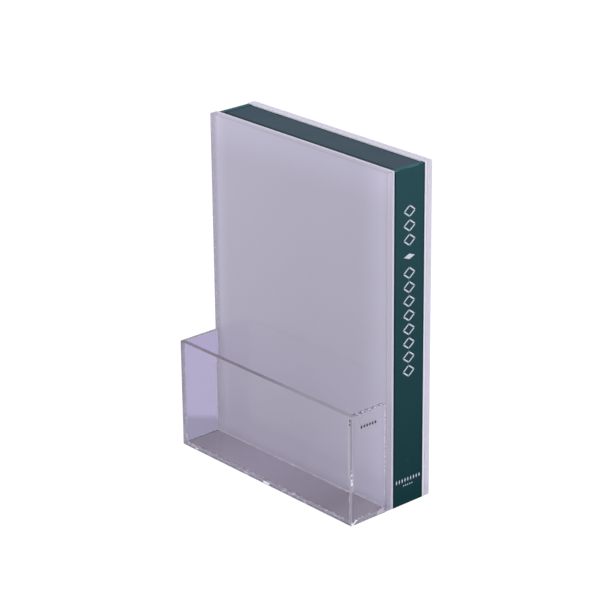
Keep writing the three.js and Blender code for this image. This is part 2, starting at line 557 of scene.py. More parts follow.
FLOOR_SHADOW_TINTS = [
    (0.0, tint(0.185, 0.155, 0.218)),
    (0.07, tint(0.188, 0.157, 0.222)),
    (0.17, tint(0.212, 0.184, 0.255)),
    (0.26, tint(0.231, 0.202, 0.295)),
    (0.43, tint(0.231, 0.202, 0.295)),
    (0.62, tint(0.209, 0.182, 0.259)),
    (0.76, tint(0.188, 0.162, 0.229)),
    (0.86, tint(0.163, 0.138, 0.195)),
    (0.92, tint(0.204, 0.175, 0.235)),
    (1.0, tint(0.218, 0.188, 0.250)),
]
# Tints per piece. The dark edge tints, the lilac left wall, darker still near the table, and the
# pocket floor are painted shade for what is seen through them; the pale edge tints are painted light.
CLEAR_LOOKS = {
    "front_clear_panel": {
        "body": tint(0.93, 0.92, 0.97),
        "edges": {
            "Left": tint(0.50, 0.48, 0.53),
            "Right": tint(0.99, 0.98, 1.0),
            "Top": tint(0.62, 0.60, 0.70),
        },
        "gloss": 0.1,
    },
    "rear_clear_panel": {
        "body": tint(0.99, 0.98, 1.0),
        "edges": {
            "Left": tint(0.90, 0.88, 0.94),
            "Right": tint(1.0, 0.99, 1.0),
            "Top": tint(0.76, 0.74, 0.90),
        },
        "chamfer": tint(0.88, 0.86, 0.96),
        "gloss": 0.02,
        "edge_gloss": 0.32,
    },
    "pocket_front": {
        "body": tint(0.95, 0.945, 0.955),
        "chamfer": tint(0.62, 0.60, 0.65),
        "edges": {
            "Left": tint(0.37, 0.35, 0.44),
            "Right": tint(0.94, 0.93, 0.96),
            "Top": tint(0.12, 0.105, 0.135),
        },
    },
    "pocket_left_side": {
        "body": tint(0.408, 0.370, 0.562),
        "edges": {"Top": tint(0.23, 0.21, 0.27)},
        "painted_low_shade": tint(0.281, 0.257, 0.393),
    },
    "pocket_right_side": {
        "body": tint(0.99, 0.985, 1.0),
        "edges": {"Top": tint(0.90, 0.88, 0.94)},
        "mirror": tint(0.36, 0.36, 0.36),
    },
    "pocket_floor": {
        "body": FLOOR_SHADOW_TINTS,
        "edges": {},
    },
}
# Lit and shaded copies of one white sheet: the front backing is painted duller than the rear, and the
# bands and foot corners are painted light and painted shade.
FRONT_LOW = tint(0.459, 0.443, 0.531)
FRONT_HIGH = tint(0.483, 0.464, 0.560)
FRONT_BANDS = (
    ("Foot", 28 * MM, 1.13),
    ("Top", 40 * MM, 1.135),
    ("Right", 38 * MM, 1.19),
    ("Left", 20 * MM, 1.14),
    ("Left", 130 * MM, 1.07),
    ("Right", 10 * MM, 0.93),
    ("Left", 7 * MM, 0.74),
)
FRONT_FOOT_CORNERS = (
    ("Right", 110 * MM, 170 * MM, 1.15),
    ("Right", 80 * MM, 70 * MM, 0.90),
    ("Right", 9 * MM, 130 * MM, 1.14),
    ("Left", 130 * MM, 90 * MM, 0.955),
)
REAR_LOW = tint(0.82, 0.80, 0.94)
REAR_HIGH = tint(0.885, 0.865, 0.99)
REAR_BANDS = (("Top", 15 * MM, 1.04), ("Right", 15 * MM, 1.04), ("Left", 15 * MM, 1.04))
# Painted shade: the white sheets' edges are darker at the foot, and darker again along their top edge
FRONT_EDGE_LOW = tint(0.65, 0.62, 0.78)
FRONT_EDGE_HIGH = tint(0.74, 0.72, 0.88)
REAR_EDGE_LOW = tint(0.82, 0.80, 0.93)
REAR_EDGE_HIGH = tint(0.87, 0.85, 0.96)
TOP_EDGE_REACH = 0.3 * MM
FRONT_TOP_EDGE_GAIN = 0.60
REAR_TOP_EDGE_GAIN = 0.556


def dress(name, material):
    slots = nodes[name].data.materials
    slots.clear()
    slots.append(material)


for part_name, look in CLEAR_LOOKS.items():
    dress(part_name, clear_acrylic(part_name, **look))

front_sheet = white_acrylic(
    "front_sheet",
    boxes["front_white_sheet"],
    FRONT_EDGE_LOW,
    FRONT_EDGE_HIGH,
    [("Top", TOP_EDGE_REACH, FRONT_TOP_EDGE_GAIN)],
)
rear_sheet = white_acrylic(
    "rear_sheet",
    boxes["rear_white_sheet"],
    REAR_EDGE_LOW,
    REAR_EDGE_HIGH,
    [("Top", TOP_EDGE_REACH, REAR_TOP_EDGE_GAIN)],
)
front_backing = white_acrylic(
    "front_backing",
    boxes["front_white_sheet"],
    FRONT_LOW,
    FRONT_HIGH,
    FRONT_BANDS,
    FRONT_FOOT_CORNERS,
)
rear_backing = white_acrylic(
    "rear_backing", boxes["rear_white_sheet"], REAR_LOW, REAR_HIGH, REAR_BANDS
)
# Lit and shaded copies of one lacquer: the level boards' greyer, bluer colour is a painted sheen of
# the light from above, and the level copy has a wider painted shade along its front.
upright_green = green_lacquer(
    "upright_green", srgb(17, 55, 60), srgb(43, 77, 85), 2.4 * MM, 2.4 * MM
)
level_green = green_lacquer(
    "level_green", srgb(22, 44, 55), srgb(50, 65, 77), 6.2 * MM, 3.0 * MM
)
dress("front_white_sheet", front_sheet)
dress("rear_white_sheet", rear_sheet)
dress("spine_board", upright_green)
dress("left_board", upright_green)
dress("top_board", level_green)
dress("bottom_board", level_green)


# ---------------------------------------------------------------- inks and cements
BEAD_MILK = tint(0.8, 0.79, 0.85)
pale_ink = printed_ink("pale_ink", srgb(212, 215, 232), srgb(190, 195, 214))
dark_ink = printed_ink("dark_ink", srgb(12, 12, 15), srgb(30, 30, 35))
# Painted highlights on the edges, and dark marks beside them, in the print material
glint_white = printed_ink("painted_glint_white", srgb(252, 252, 254), srgb(236, 234, 244))
dark_mark_grey = printed_ink("dark_mark_arris", srgb(76, 72, 86), srgb(98, 94, 108))
# Copies of one cement, each painted paler or duller to the light or shade that falls on its joint
left_cement = milky_cement("left_cement", srgb(162, 158, 176), 0.0, (300, 300, 90))
right_cement = milky_cement("right_cement", srgb(220, 216, 232), 0.1, (300, 300, 90))
floor_cement = milky_cement("floor_cement", srgb(162, 157, 172), 0.25, (300, 420, 500))
seam_cement = milky_cement("seam_cement", srgb(174, 170, 187), 0.25, (420, 420, 300))
wall_seam_cement = milky_cement("wall_seam_cement", srgb(240, 237, 240), 0.2, (300, 300, 120))
fillet_cement = milky_cement("fillet_cement", srgb(166, 160, 175), 0.1, (300, 300, 300))
groove_cement = milky_cement("groove_cement", srgb(157, 152, 169), 0.0, (300, 300, 120))
edge_cement = milky_cement("edge_cement", srgb(194, 190, 208), 0.0, (200, 200, 200))
bead_cement = milky_cement(
    "bead_cement", srgb(205, 201, 216), 0.5, (300, 300, 300), milk=BEAD_MILK
)


# ---------------------------------------------------------------- making pieces
def mesh_piece(name, mesh_maker, material):
    """A new piece from a function that fills a bmesh. It rides on the stand's one body."""
    shape = bmesh.new()
    mesh_maker(shape)
    data = bpy.data.meshes.new(name)
    shape.to_mesh(data)
    shape.free()
    data.materials.append(material)
    piece = bpy.data.objects.new(name, data)
    bpy.context.scene.collection.objects.link(piece)
    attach(piece, "root")
    return piece


def add_plate(shape, corners, lift):
    """A closed plate: a flat outline of corners, raised along the vector lift."""
    count = len(corners)
    low = [shape.verts.new(corner) for corner in corners]
    high = [shape.verts.new(corner + lift) for corner in corners]
    shape.faces.new(list(reversed(low)))
    shape.faces.new(high)
    for i in range(count):
        j = (i + 1) % count
        shape.faces.new((low[i], low[j], high[j], high[i]))


def finish_normals(shape):
    bmesh.ops.recalc_face_normals(shape, faces=shape.faces)


def add_block(shape, low, high):
    """A closed block between two corners."""
    corners = [
        Vector((low.x, low.y, low.z)),
        Vector((high.x, low.y, low.z)),
        Vector((high.x, high.y, low.z)),
        Vector((low.x, high.y, low.z)),
    ]
    add_plate(shape, corners, Vector((0, 0, high.z - low.z)))
    finish_normals(shape)


def rectangle(low, high, foot, head):
    """The corners of an upright rectangle: how far across, and how high."""
    return [(low, foot), (high, foot), (high, head), (low, head)]


def clear_piece(name, mesh_maker, material):
    mesh_piece(name, mesh_maker, material)


# ---------------------------------------------------------------- prints
PRINT_THICKNESS = 0.03 * MM


def side_point(y, z):
    """A point on the face that the spine and the pocket's right wall share."""
    return Vector((spine_high.x, y, z))


def add_stroke(shape, start, end, width):
    """A straight stroke of ink between two points (y, z) on the right face, square at its ends."""
    a = Vector(start)
    b = Vector(end)
    along = (b - a).normalized() * width / 2
    across = Vector((-along.y, along.x))
    corners = [a - along - across, b + along - across, b + along + across, a - along + across]
    add_plate(shape, [side_point(*corner) for corner in corners], Vector((PRINT_THICKNESS, 0, 0)))


SPINE_MIDDLE_Y = (spine_low.y + spine_high.y) / 2
OUTLINE_STROKE = 1.15 * MM
OUTLINE_HALF_WIDTH = 6.2 * MM
OUTLINE_HALF_HEIGHT = 4.8 * MM
OUTLINE_PITCH = 12.4 * MM
BAND_BOTTOM = 117 * MM
BAND_GAP = 9.6 * MM  # from either band to the middle of the solid lozenge between them
LOWER_OUTLINES = 8
UPPER_OUTLINES = 3


def add_outline_band(shape, bottom, count):
    """Outlined lozenges that climb the spine. Returns the top of the last one."""
    for i in range(count):
        z = bottom + OUTLINE_HALF_HEIGHT + i * OUTLINE_PITCH
        points = [
            (SPINE_MIDDLE_Y - OUTLINE_HALF_WIDTH, z),
            (SPINE_MIDDLE_Y, z - OUTLINE_HALF_HEIGHT),
            (SPINE_MIDDLE_Y + OUTLINE_HALF_WIDTH, z),
            (SPINE_MIDDLE_Y, z + OUTLINE_HALF_HEIGHT),
        ]
        for start, end in zip(points, points[1:] + points[:1]):
            add_stroke(shape, start, end, OUTLINE_STROKE)
    return bottom + (count - 1) * OUTLINE_PITCH + 2 * OUTLINE_HALF_HEIGHT


def spine_ornament(shape):
    top = add_outline_band(shape, BAND_BOTTOM, LOWER_OUTLINES)
    middle = top + BAND_GAP
    add_lozenge(shape, SPINE_MIDDLE_Y, middle, OUTLINE_HALF_WIDTH, OUTLINE_HALF_HEIGHT / 2)
    add_outline_band(shape, middle + BAND_GAP, UPPER_OUTLINES)
    finish_normals(shape)


def add_lozenge(shape, y, z, half_width, half_height):
    corners = [
        side_point(y - half_width, z),
        side_point(y, z - half_height),
        side_point(y + half_width, z),
        side_point(y, z + half_height),
    ]
    add_plate(shape, corners, Vector((PRINT_THICKNESS, 0, 0)))


def add_lozenge_row(shape, y, z, count, pitch, half_width, half_height):
    """Lozenges side by side, with the middle of the row at (y, z)."""
    for i in range(count):
        add_lozenge(shape, y + (i - (count - 1) / 2) * pitch, z, half_width, half_height)


# The height of a row, then the count, pitch, half width and half height of its lozenges
SPINE_ROWS = (
    (22.6 * MM, 9, 3.3 * MM, 0.75 * MM, 2.2 * MM),
    (17.6 * MM, 5, 2.4 * MM, 0.6 * MM, 0.9 * MM),
)
POCKET_ROW = (POCKET_TOP - 12.8 * MM, 6, 3.1 * MM, 1.25 * MM, 1.75 * MM)
POCKET_ROW_BEHIND = 19.8 * MM  # from the front wall's face to the middle of the row


def spine_foot_ornament(shape):
    for row in SPINE_ROWS:
        add_lozenge_row(shape, SPINE_MIDDLE_Y, *row)
    finish_normals(shape)


def pocket_ornament(shape):
    add_lozenge_row(shape, wall_low.y + POCKET_ROW_BEHIND, *POCKET_ROW)
    finish_normals(shape)


mesh_piece("spine_lozenge_band", spine_ornament, pale_ink)
mesh_piece("spine_foot_band", spine_foot_ornament, pale_ink)
mesh_piece("pocket_lozenge_band", pocket_ornament, dark_ink)


# ---------------------------------------------------------------- cement in the joints
BITE = 0.05 * MM  # how far a cement film wets into the sheets on both sides
BACKING_INSET = 0.41 * MM


def cover_cement(side, material):
    """The film of white cement between a cover's clear panel and its white sheet."""
    clear_low, clear_high = boxes[side + "_clear_panel"]
    white_low, white_high = boxes[side + "_white_sheet"]
    start, end = sorted([clear_low.y, clear_high.y, white_low.y, white_high.y])[1:3]
    if side == "front":
        start -= BITE
        end -= BITE / 2
    else:
        start += BITE / 2
        end += BITE
    low = Vector((clear_low.x + BACKING_INSET, start, clear_low.z + BACKING_INSET))
    high = Vector((clear_high.x - BACKING_INSET, end, clear_high.z - BACKING_INSET))
    film = mesh_piece(side + "_cover_cement", lambda shape: add_block(shape, low, high), material)


CLEAR_CHAMFER = 0.4 * MM
SHEET_CHAMFER = 0.2 * MM
CLEAR_CORNER_ROUND = 0.8 * MM
ROUND_STEPS = 3
BEAD_WETS = CLEAR_CHAMFER + 1.4 * BITE  # how far a bead reaches along the clear panel
BEAD_INSET = 0.005 * MM  # from the covers' outline to a bead
BEAD_OFF_SHEET = 3 * BEAD_INSET
BEAD_OFF_CHAMFER = 4 * BEAD_INSET


def rounded_loop(shape, low, high, inset, y):
    """The corners of a panel's outline at the depth y, inset all round."""
    radius = CLEAR_CORNER_ROUND - inset
    reach = CLEAR_CORNER_ROUND
    centres = [
        (high.x - reach, high.z - reach),
        (low.x + reach, high.z - reach),
        (low.x + reach, low.z + reach),
        (high.x - reach, low.z + reach),
    ]
    loop = []
    for quarter, (x, z) in enumerate(centres):
        for step in range(ROUND_STEPS + 1):
            turn = (quarter + step / ROUND_STEPS) * math.pi / 2
            corner = (x + radius * math.cos(turn), y, z + radius * math.sin(turn))
            loop.append(shape.verts.new(corner))
    return loop


def add_ring(shape, loops):
    """A closed ring through loops of equal length."""
    for first, second in zip(loops, loops[1:] + loops[:1]):
        for i in range(len(first)):
            j = (i + 1) % len(first)
            shape.faces.new((first[i], first[j], second[j], second[i]))
    finish_normals(shape)


def cover_bead(side):
    """Cement in the groove all round a cover, between the chamfers of its two sheets."""
    clear_low, clear_high = boxes[side + "_clear_panel"]
    white_low, white_high = boxes[side + "_white_sheet"]
    towards_white = 1 if side == "front" else -1
    face = clear_high.y if side == "front" else clear_low.y
    gap = (white_low.y - clear_high.y) if side == "front" else (clear_low.y - white_high.y)
    section = [
        (BACKING_INSET, BACKING_INSET - BEAD_WETS),
        (BITE, BITE - BEAD_WETS),
        (BEAD_INSET, BEAD_INSET - CLEAR_CHAMFER),
        (BEAD_INSET, gap + SHEET_CHAMFER - BEAD_OFF_CHAMFER),
        (SHEET_CHAMFER, gap - BEAD_OFF_SHEET),
        (BACKING_INSET, gap - BEAD_OFF_SHEET),
    ]

    def fill(shape):
        loops = [
            rounded_loop(shape, clear_low, clear_high, inset, face + towards_white * out)
            for inset, out in section
        ]
        add_ring(shape, loops)

    mesh_piece(side + "_cover_bead", fill, edge_cement)


cover_cement("front", front_backing)
cover_cement("rear", rear_backing)
cover_bead("front")
cover_bead("rear")


def joint_film(name, low, high, material):
    clear_piece(name, lambda shape: add_block(shape, Vector(low), Vector(high)), material)


def pocket_joints():
    """Cement between the front wall, the side walls, the floor and the front cover."""
    inset = CHAMFER_REACH
    walls = (
        ("left", left_low, left_high, left_cement, wall_seam_cement),
        ("right", right_low, right_high, right_cement, seam_cement),
    )
    for side, low, high, front_cement, rear_cement in walls:
        joint_film(
            side + "_wall_front_cement",
            (low.x + inset, wall_high.y - BITE, low.z + inset),
            (high.x - inset, low.y + BITE, high.z - inset),
            front_cement,
        )
        joint_film(
            side + "_wall_cover_cement",
            (low.x + inset, high.y - BITE, low.z + inset),
            (high.x - inset, panel_low.y + BITE, high.z - inset),
            rear_cement,
        )
    bottom = floor_low.z + inset
    top = floor_high.z - inset
    crossways = (
        ("floor_front_cement", wall_high.y, floor_low.y, floor_cement),
        ("floor_cover_cement", floor_high.y, panel_low.y, seam_cement),
    )
    for name, start, end, cement in crossways:
        joint_film(name, (floor_low.x, start - BITE, bottom), (floor_high.x, end + BITE, top), cement)
    front = floor_low.y + inset
    back = floor_high.y - inset
    endways = (
        ("floor_right_cement", floor_high.x, right_low.x),
        ("floor_left_cement", left_high.x, floor_low.x),
    )
    for name, start, end in endways:
        joint_film(name, (start - BITE, front, bottom), (end + BITE, back, top), floor_cement)


pocket_joints()

FILLET = 0.5 * MM
FLOOR_FILLET = 1.8 * MM
FILLET_BELOW = 0.5 * MM  # from the pocket's top
SEAM_FOOT = 24 * MM


def inner_fillets(shape):
    """Cement run along the inner corners where the floor and the left wall meet the cover."""
    back = panel_low.y + BITE
    base = floor_high.z - BITE
    side = left_high.x - BITE
    along_floor = [
        Vector((left_high.x, back, base)),
        Vector((left_high.x, back - FLOOR_FILLET, base)),
        Vector((left_high.x, back, base + FILLET)),
    ]
    add_plate(shape, along_floor, Vector((right_low.x - left_high.x, 0, 0)))
    up_wall = [
        Vector((side, back, base)),
        Vector((side, back - FILLET, base)),
        Vector((side + FILLET, back, base)),
    ]
    add_plate(shape, up_wall, Vector((0, 0, POCKET_TOP - base - FILLET_BELOW)))
    finish_normals(shape)


def outer_seams(shape):
    """Cement drawn flush with the outside, where the side walls meet the front wall's chamfer."""
    start = wall_high.y - CLEAR_CHAMFER - BITE
    end = right_low.y + BITE
    deep = CLEAR_CHAMFER + BITE
    for x, inward in ((right_high.x, -1), (left_low.x, 1)):
        corners = [
            Vector((x, start, SEAM_FOOT)),
            Vector((x + inward * deep, wall_high.y, SEAM_FOOT)),
            Vector((x + inward * deep, end, SEAM_FOOT)),
            Vector((x, end, SEAM_FOOT)),
        ]
        add_plate(shape, corners, Vector((0, 0, POCKET_TOP - CLEAR_CHAMFER - SEAM_FOOT)))
    finish_normals(shape)


SKIN = 0.01 * MM
SCRAPE_DUST = tint(0.30, 0.28, 0.34)
SCRAPE_SCALE = 700.0
SCRAPE_DEPTH = 0.06


def scraped_skin(name, colour, other, face, reach, fade):
    """Acrylic that a scraper left matt, coloured as painted light and shade. It turns from colour to
    other near one face of the front wall's box, where that painted light or shade changes."""
    material, tree, surface, _ = new_material(name)
    near = box_masks(tree, boxes["pocket_front"], reach, fade)[face]
    base = mix_colour(tree, near, colour, other)
    grain = noise(tree, object_place(tree), SCRAPE_SCALE)
    dusty = math_node(tree, "MULTIPLY", grain, SCRAPE_DEPTH)
    feed(tree, surface.inputs["Base Color"], mix_colour(tree, dusty, base, SCRAPE_DUST))
    make_matt(surface)
    return material


def skin_section(deep):
    """The section (behind the front face, out of the edge) of a skin on an edge and its front
    arris, down to the given depth behind the front face."""
    return [
        (deep, SKIN),
        (CLEAR_CHAMFER, SKIN),
        (-SKIN, -CLEAR_CHAMFER),
        (BITE, -CLEAR_CHAMFER - BITE),
        (CLEAR_CHAMFER + BITE, -BITE),
        (deep, -BITE),
    ]


END_SKIN_DEPTH = 3.6 * MM
TOP_SKIN_DEPTH = 3.3 * MM


def end_skin(shape):
    """The scraped right end of the front wall."""
    section = skin_section(END_SKIN_DEPTH)
    corners = [Vector((wall_high.x + out, wall_low.y + y, CLEAR_CHAMFER)) for y, out in section]
    add_plate(shape, corners, Vector((0, 0, POCKET_TOP - 2 * CLEAR_CHAMFER)))
    finish_normals(shape)


def top_skin(shape):
    """The scraped top edge of the front wall."""
    section = skin_section(TOP_SKIN_DEPTH)
    start = wall_low.x + CLEAR_CHAMFER
    corners = [Vector((start, wall_low.y + y, POCKET_TOP + out)) for y, out in section]
    add_plate(shape, corners, Vector((wall_high.x - CLEAR_CHAMFER - start, 0, 0)))
    finish_normals(shape)


# Outlines in millimetres. The first gives how far behind the front face and how high, the next
# two how far from the wall's right end and how high, and the last (y, z) in the part's frame.
END_LINE = ((0.3, 2.0), (1.3, 2.0), (1.3, 97.8), (0.3, 97.8))
ARRIS_SHADE = ((-0.35, 47.0), (-0.35, 97.8), (-1.25, 97.8), (-1.25, 47.0))
FRONT_LINE = (
    (-0.4, 3.0), (-0.4, 34.0), (-1.3, 47.0), (-1.3, 97.6),
    (-3.4, 97.6), (-3.4, 47.0), (-1.9, 34.0), (-1.6, 28.5), (-2.7, 26.0), (-2.5, 23.0),
    (-1.5, 21.0), (-1.7, 14.5), (-2.3, 12.5), (-2.0, 10.0), (-1.5, 8.5), (-1.8, 3.0),
)
FOOT_SMEAR = ((-16.0, 0.8), (-6.2, 0.8), (-6.2, 5.0), (-9.5, 5.4), (-12.5, 4.8), (-15.5, 3.4))


def add_front_patch(shape, outline):
    """A thin patch on the front face. outline is (x, z), with x from the wall's right end."""
    corners = [Vector((wall_high.x + x * MM, wall_low.y, z * MM)) for x, z in outline]
    add_plate(shape, corners, Vector((0, -2 * SKIN, 0)))


def end_line(shape):
    """A painted dark line, as shade, on both sides of the scraped end's front arris."""
    corners = [Vector((wall_high.x, wall_low.y + y * MM, z * MM)) for y, z in END_LINE]
    add_plate(shape, corners, Vector((2 * SKIN, 0, 0)))
    add_front_patch(shape, ARRIS_SHADE)
    finish_normals(shape)


def front_line(shape):
    """A painted highlight down the front face, where light from the scraped end comes out."""
    add_front_patch(shape, FRONT_LINE)
    finish_normals(shape)


SEAM_HALF_WIDTH = 0.45 * MM
SEAM_ENDS = (2 * MM, 98 * MM)
SEAM_SEED = 5
SEAM_DROPS_AHEAD = 1.35 * MM  # of the seam between the right wall and the front cover
SEAM_DROP_WIDTH = (0.5 * MM, 0.9 * MM)
SEAM_DROP_LENGTH = (1.0 * MM, 3.2 * MM)
SEAM_DROP_GAP = (0.6 * MM, 2.4 * MM)


def add_seam_patch(shape, outline):
    """A thin patch on the right face. outline is (y, z) in the part's frame."""
    corners = [side_point(y, z) for y, z in outline]
    add_plate(shape, corners, Vector((2 * SKIN, 0, 0)))


def seam_line(shape):
    """The dull line where the right wall meets the front cover."""
    seam = (right_high.y + panel_low.y) / 2
    add_seam_patch(shape, rectangle(seam - SEAM_HALF_WIDTH, seam + SEAM_HALF_WIDTH, *SEAM_ENDS))
    finish_normals(shape)


def seam_drops(shape):
    """Cement that was squeezed out of that joint, in flat drops painted pale as a dashed highlight.
    """
    draw = random.Random(SEAM_SEED)
    middle = right_high.y - SEAM_DROPS_AHEAD
    z, end = SEAM_ENDS
    while z < end:
        half = draw.uniform(*SEAM_DROP_WIDTH) / 2
        length = draw.uniform(*SEAM_DROP_LENGTH)
        slant = half / 2
        outline = [
            (middle - half, z + slant),
            (middle + half, z),
            (middle + half, z + length - slant),
            (middle - half, z + length),
        ]
        add_seam_patch(shape, outline)
        z += length + draw.uniform(*SEAM_DROP_GAP)
    finish_normals(shape)


def foot_smear(shape):
    """Cement smeared over the foot of the right wall."""
    add_seam_patch(shape, [(y * MM, z * MM) for y, z in FOOT_SMEAR])
    finish_normals(shape)


# Painted light and shade on the pocket's matt skins and marks: the end, the front line, the seam and
# the drops are duller towards the foot, the end line paler there, and the top edge is painted dark.
end_grey = scraped_skin(
    "scraped_end", srgb(177, 173, 190), srgb(130, 124, 141), "Foot", 33 * MM, 4 * MM
)
top_grey = scraped_skin(
    "scraped_top", srgb(122, 116, 129), srgb(145, 139, 152), "Right", 115 * MM, 50 * MM
)
end_line_grey = scraped_skin(
    "end_line", srgb(150, 146, 163), srgb(172, 168, 184), "Foot", 38 * MM, 5 * MM
)
front_line_pale = scraped_skin(
    "front_line", srgb(189, 185, 201), srgb(172, 168, 183), "Foot", 48 * MM, 14 * MM
)
seam_grey = scraped_skin(
    "seam_line", srgb(173, 168, 184), srgb(146, 141, 156), "Foot", 60 * MM, 60 * MM
)
seam_pale = scraped_skin(
    "seam_drops", srgb(222, 218, 232), srgb(172, 167, 181), "Foot", 60 * MM, 60 * MM
)
smear_pale = scraped_skin(
    "foot_smear", srgb(205, 200, 214), srgb(196, 191, 206), "Right", 6 * MM, 6 * MM
)
clear_piece("scraped_wall_end", end_skin, end_grey)
clear_piece("scraped_wall_top", top_skin, top_grey)
clear_piece("wall_end_line", end_line, end_line_grey)
clear_piece("wall_front_line", front_line, front_line_pale)
clear_piece("wall_seam_line", seam_line, seam_grey)
clear_piece("wall_seam_drops", seam_drops, seam_pale)
clear_piece("wall_foot_smear", foot_smear, smear_pale)
clear_piece("inner_fillets", inner_fillets, fillet_cement)
clear_piece("outer_seams", outer_seams, groove_cement)

BEAD_SEED = 11
BEAD_RADIUS = (0.12 * MM, 0.28 * MM)
BEAD_LENGTH = (0.8 * MM, 2.4 * MM)
BEAD_GAP = (1.0 * MM, 3.5 * MM)
CROSS_BEAD_LENGTH = (1.2 * MM, 4.0 * MM)
CROSS_BEAD_GAP = (2 * MM, 9 * MM)
BEADS_OUT = 0.1 * MM  # from the corner of a joint
BEADS_END = 1 * MM  # from the floor or a side wall
BEADS_BELOW = 1.5 * MM  # from the pocket's top
FRONT_BEADS_TOP = 28 * MM


def add_drop(shape, centre, reach):
    """A small drop with the given reach along X, Y and Z."""
    place = Matrix.Translation(centre) @ Matrix.Diagonal((*reach, 1.0))
    bmesh.ops.create_icosphere(shape, subdivisions=2, radius=1.0, matrix=place)


def add_bead_row(shape, draw, start, end, length=BEAD_LENGTH, gap=BEAD_GAP):
    """Drops of squeezed-out cement along a joint, of uneven length and at uneven gaps."""
    start = Vector(start)
    way = Vector(end) - start
    along = way.normalized()
    lengthways = Vector([abs(value) for value in along])
    across = Vector((1, 1, 1)) - lengthways
    travelled = 0.0
    while travelled < way.length:
        half = draw.uniform(*length) / 2
        reach = lengthways * half + across * draw.uniform(*BEAD_RADIUS)
        add_drop(shape, start + along * (travelled + half), reach)
        travelled += 2 * half + draw.uniform(*gap)


def cement_beads(shape):
    """Beads up the pocket's inner corners, and along its floor."""
    draw = random.Random(BEAD_SEED)
    base = floor_high.z
    foot = base + BEADS_END
    head = POCKET_TOP - BEADS_BELOW
    front = wall_high.y + BEADS_OUT
    back = panel_low.y - BEADS_OUT
    for x, inward in ((right_low.x, -1), (left_high.x, 1)):
        at = x + inward * BEADS_OUT
        add_bead_row(shape, draw, (at, back, foot), (at, back, head))
        add_bead_row(shape, draw, (at, front, foot), (at, front, FRONT_BEADS_TOP))
        add_bead_row(shape, draw, (at, front, base), (at, back, base))
    left = left_high.x + BEADS_END
    right = right_low.x - BEADS_END
    for y in (front, back):
        add_bead_row(
            shape, draw, (left, y, base), (right, y, base), CROSS_BEAD_LENGTH, CROSS_BEAD_GAP
        )


clear_piece("cement_beads", cement_beads, bead_cement)

SLIVER_THICKNESS = 0.02 * MM
SCRAPED_END_X = wall_high.x + 2 * SKIN
# The foot, head and width of each, in millimetres
ARRIS_GLINTS = ((37.2, 40.6, 1.9), (41.0, 43.2, 1.5), (45.9, 48.0, 1.5), (50.5, 51.3, 0.8))
GLINT_BEHIND = 0.3 * MM  # from the front wall's face
GLINT_SLANT = 0.4 * MM
GLINT_TAPER = 0.8
# An outline in millimetres: how far behind the front wall's face, and how high
CORNER_GLINT = ((0.3, 0.9), (2.0, 0.3), (7.2, 3.4), (6.4, 4.7), (2.2, 2.2), (0.6, 4.2))
# How far behind the front wall the middle of each is, and its length, in millimetres
TOP_GLINTS = ((4.0, 1.1), (10.2, 1.6), (13.9, 0.9), (17.2, 1.4), (23.7, 1.3), (30.7, 1.9))
TOP_GLINT_WIDTH = 1.0 * MM
TOP_GLINT_INSET = 0.5 * MM  # from the right wall's outer face
# How far behind the front wall each starts, and its length, in millimetres
TOP_DARK_DASHES = ((1.2, 3.0), (7.0, 2.4), (11.8, 1.6), (16.2, 1.8))
DARK_DASH_HEIGHT = 0.5 * MM
DARK_DASH_BELOW = 0.5 * MM  # from the pocket's top
# The left end, right end, foot and head of each, in millimetres
FOOT_GLINTS = ((17.0, 21.0, 1.6, 2.6), (108.5, 117.0, 0.9, 3.0))
FOOT_GLINT_SLANT = 0.5 * MM
ARRIS_DARK_MARKS = (91.5 * MM, 95.0 * MM)
DARK_MARK_HEIGHT = 2.0 * MM
DARK_MARK_ENDS = (2.2 * MM, 0.3 * MM)  # from the front wall's right end


def add_sliver(shape, corners, out):
    add_plate(shape, [Vector(corner) for corner in corners], Vector(out) * SLIVER_THICKNESS)


def add_end_sliver(shape, outline):
    """A sliver on the front wall's scraped end. outline is (y, z) in the part's frame."""
    add_sliver(shape, [(SCRAPED_END_X, y, z) for y, z in outline], (1, 0, 0))


def add_arris_glint(shape, foot, head, width):
    """A painted glint on the front wall's scraped end, along its front arris."""
    front = wall_low.y + GLINT_BEHIND
    outline = [
        (front, foot),
        (front + width, foot + GLINT_SLANT),
        (front + width * GLINT_TAPER, head),
        (front, head),
    ]
    add_end_sliver(shape, outline)


def add_top_glint(shape, behind, length):
    """A painted glint on the top edge of the right wall, near its outer arris."""
    outer = right_high.x - TOP_GLINT_INSET
    middle = outer - TOP_GLINT_WIDTH / 2
    inner = outer - TOP_GLINT_WIDTH
    start = wall_high.y + (behind - length / 2) * MM
    end = start + length * MM
    slant = length / 4 * MM
    outline = [
        (outer, start + slant),
        (outer, end - slant),
        (middle, end),
        (inner, end - slant),
        (inner, start + slant),
        (middle, start),
    ]
    add_sliver(shape, [(x, y, POCKET_TOP) for x, y in outline], (0, 0, 1))


def add_front_sliver(shape, outline, y):
    """A sliver on the front wall's face at the depth y. outline is (x, z)."""
    add_sliver(shape, [(x, y, z) for x, z in outline], (0, -1, 0))


def add_foot_glint(shape, x_low, x_high, z_low, z_high):
    """A painted glint near the foot of the front wall's face, measured from its left end."""
    left = wall_low.x + x_low * MM
    right = wall_low.x + x_high * MM
    foot = z_low * MM
    head = z_high * MM
    outline = [
        (left, foot),
        (right - FOOT_GLINT_SLANT, foot),
        (right, head),
        (left + FOOT_GLINT_SLANT, head),
    ]
    add_front_sliver(shape, outline, wall_low.y)


def painted_arris_glints(shape):
    """Painted highlights: white glints on the edges, drawn as thin white slivers."""
    for foot, head, width in ARRIS_GLINTS:
        add_arris_glint(shape, foot * MM, head * MM, width * MM)
    for behind, length in TOP_GLINTS:
        add_top_glint(shape, behind, length)
    add_end_sliver(shape, [(wall_low.y + y * MM, z * MM) for y, z in CORNER_GLINT])
    for ends in FOOT_GLINTS:
        add_foot_glint(shape, *ends)
    finish_normals(shape)


